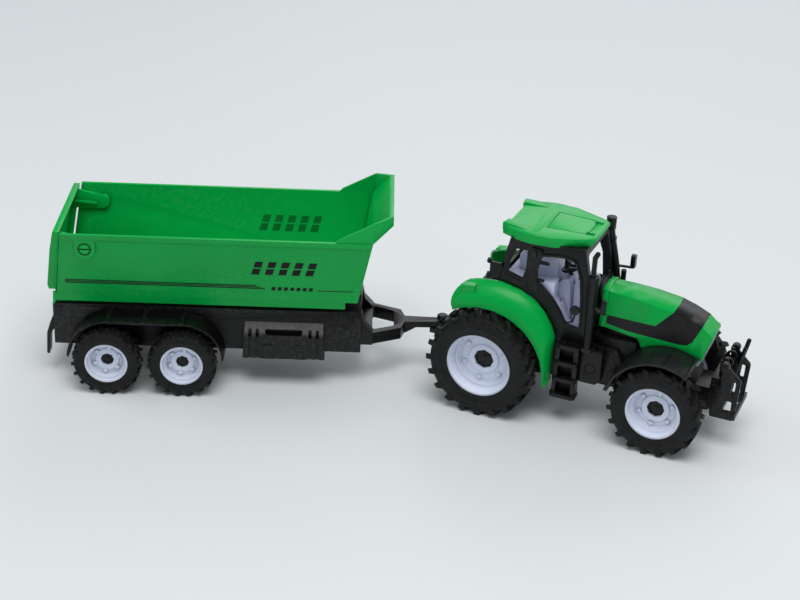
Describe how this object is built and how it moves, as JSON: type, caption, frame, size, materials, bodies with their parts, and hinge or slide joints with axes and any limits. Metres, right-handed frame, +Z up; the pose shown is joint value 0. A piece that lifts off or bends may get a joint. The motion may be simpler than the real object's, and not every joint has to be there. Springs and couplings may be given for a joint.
{
  "type": "toy tractor with tipping trailer",
  "caption": "Plastic toy tractor hitched to a two-axle tipping trailer with a steep-sided dump box and a swinging tailgate.",
  "frame": {"origin": "on the ground at the middle of the whole footprint, tractor and trailer together at rest", "axes": "+X forwards along the tractor, +Y to the tractor's left, +Z up; the trailer stands turned 23.8 degrees about the tow pin at rest"},
  "size_m": [0.4174, 0.1742, 0.1172],
  "materials": {
    "green_plastic": "glossy moulded green",
    "black_plastic": "satin moulded black",
    "charcoal_plastic": "satin charcoal",
    "wheel_plastic": "semi-gloss pale lavender",
    "seat_plastic": "semi-gloss pale lavender",
    "lens_plastic": "pale glossy lamp insert",
    "tyre_rubber": "matt black soft vinyl",
    "steel": "plain drawn steel"
  },
  "bodies": {
    "tractor": {"air_intake": "black_plastic", "belly_plate": "black_plastic", "belly_screws": "steel", "cab_frame": "black_plastic", "chassis": "black_plastic", "exhaust_stack": "black_plastic", "front_linkage": "black_plastic", "front_mudguard_left": "charcoal_plastic", "front_mudguard_right": "charcoal_plastic", "grab_bars": "black_plastic", "headlamp_lens": "lens_plastic", "hood": "green_plastic", "mirror_left": "black_plastic", "mirror_right": "black_plastic", "rear_markers": "black_plastic", "rear_mudguard_left": "green_plastic", "rear_mudguard_right": "green_plastic", "roof": "green_plastic", "seat_tub": "seat_plastic", "side_tank_left": "black_plastic", "side_tank_right": "black_plastic", "steering_column": "black_plastic", "steering_wheel": "black_plastic", "steps_left": "black_plastic", "steps_right": "black_plastic", "tow_pin": "black_plastic"},
    "rear_wheels": {"rear_axle": "steel", "rear_hub_caps": "black_plastic", "rear_rim_left": "wheel_plastic", "rear_rim_right": "wheel_plastic", "rear_tyre_left": "tyre_rubber", "rear_tyre_right": "tyre_rubber"},
    "front_wheels": {"front_axle": "steel", "front_hub_caps": "black_plastic", "front_rim_left": "wheel_plastic", "front_rim_right": "wheel_plastic", "front_tyre_left": "tyre_rubber", "front_tyre_right": "tyre_rubber"},
    "trailer": {"drawbar": "black_plastic", "rear_bumper": "black_plastic", "tip_hinge_pin": "steel", "toolbox_left": "black_plastic", "toolbox_right": "black_plastic", "trailer_chassis": "black_plastic", "trailer_screws": "steel"},
    "trailer_rear_wheels": {"trailer_rear_axle": "steel", "trailer_rear_hub_caps": "black_plastic", "trailer_rear_rim_left": "wheel_plastic", "trailer_rear_rim_right": "wheel_plastic", "trailer_rear_tyre_left": "tyre_rubber", "trailer_rear_tyre_right": "tyre_rubber"},
    "trailer_front_wheels": {"trailer_front_axle": "steel", "trailer_front_hub_caps": "black_plastic", "trailer_front_rim_left": "wheel_plastic", "trailer_front_rim_right": "wheel_plastic", "trailer_front_tyre_left": "tyre_rubber", "trailer_front_tyre_right": "tyre_rubber"},
    "dump_box": {"dump_box": "green_plastic"},
    "tailgate": {"tailgate": "green_plastic"}
  },
  "joints": [
    {"name": "rear_axle_spin", "type": "hinge", "parent": "tractor", "child": "rear_wheels", "pos_m": [0.06027, 0.04359, 0.033], "axis": [0, 1, 0], "continuous": true},
    {"name": "front_axle_spin", "type": "hinge", "parent": "tractor", "child": "front_wheels", "pos_m": [0.16597, 0.04359, 0.0272], "axis": [0, 1, 0], "continuous": true},
    {"name": "hitch_yaw", "type": "hinge", "parent": "tractor", "child": "trailer", "pos_m": [0.02007, 0.04359, 0.032], "axis": [0, 0, 1], "range_deg": [-73.8, 26.2]},
    {"name": "trailer_rear_axle_spin", "type": "hinge", "parent": "trailer", "child": "trailer_rear_wheels", "pos_m": [-0.16356, -0.0374, 0.0207], "axis": [-0.4035, 0.915, 0], "continuous": true},
    {"name": "trailer_front_axle_spin", "type": "hinge", "parent": "trailer", "child": "trailer_front_wheels", "pos_m": [-0.12257, -0.01932, 0.0207], "axis": [-0.4035, 0.915, 0], "continuous": true},
    {"name": "box_tip", "type": "hinge", "parent": "trailer", "child": "dump_box", "pos_m": [-0.19055, -0.04931, 0.0466], "axis": [0.4035, -0.915, 0], "range_deg": [0, 45]},
    {"name": "tailgate_swing", "type": "hinge", "parent": "dump_box", "child": "tailgate", "pos_m": [-0.17317, -0.04164, 0.0922], "axis": [-0.4035, 0.915, 0], "range_deg": [0, 60]}
  ]
}
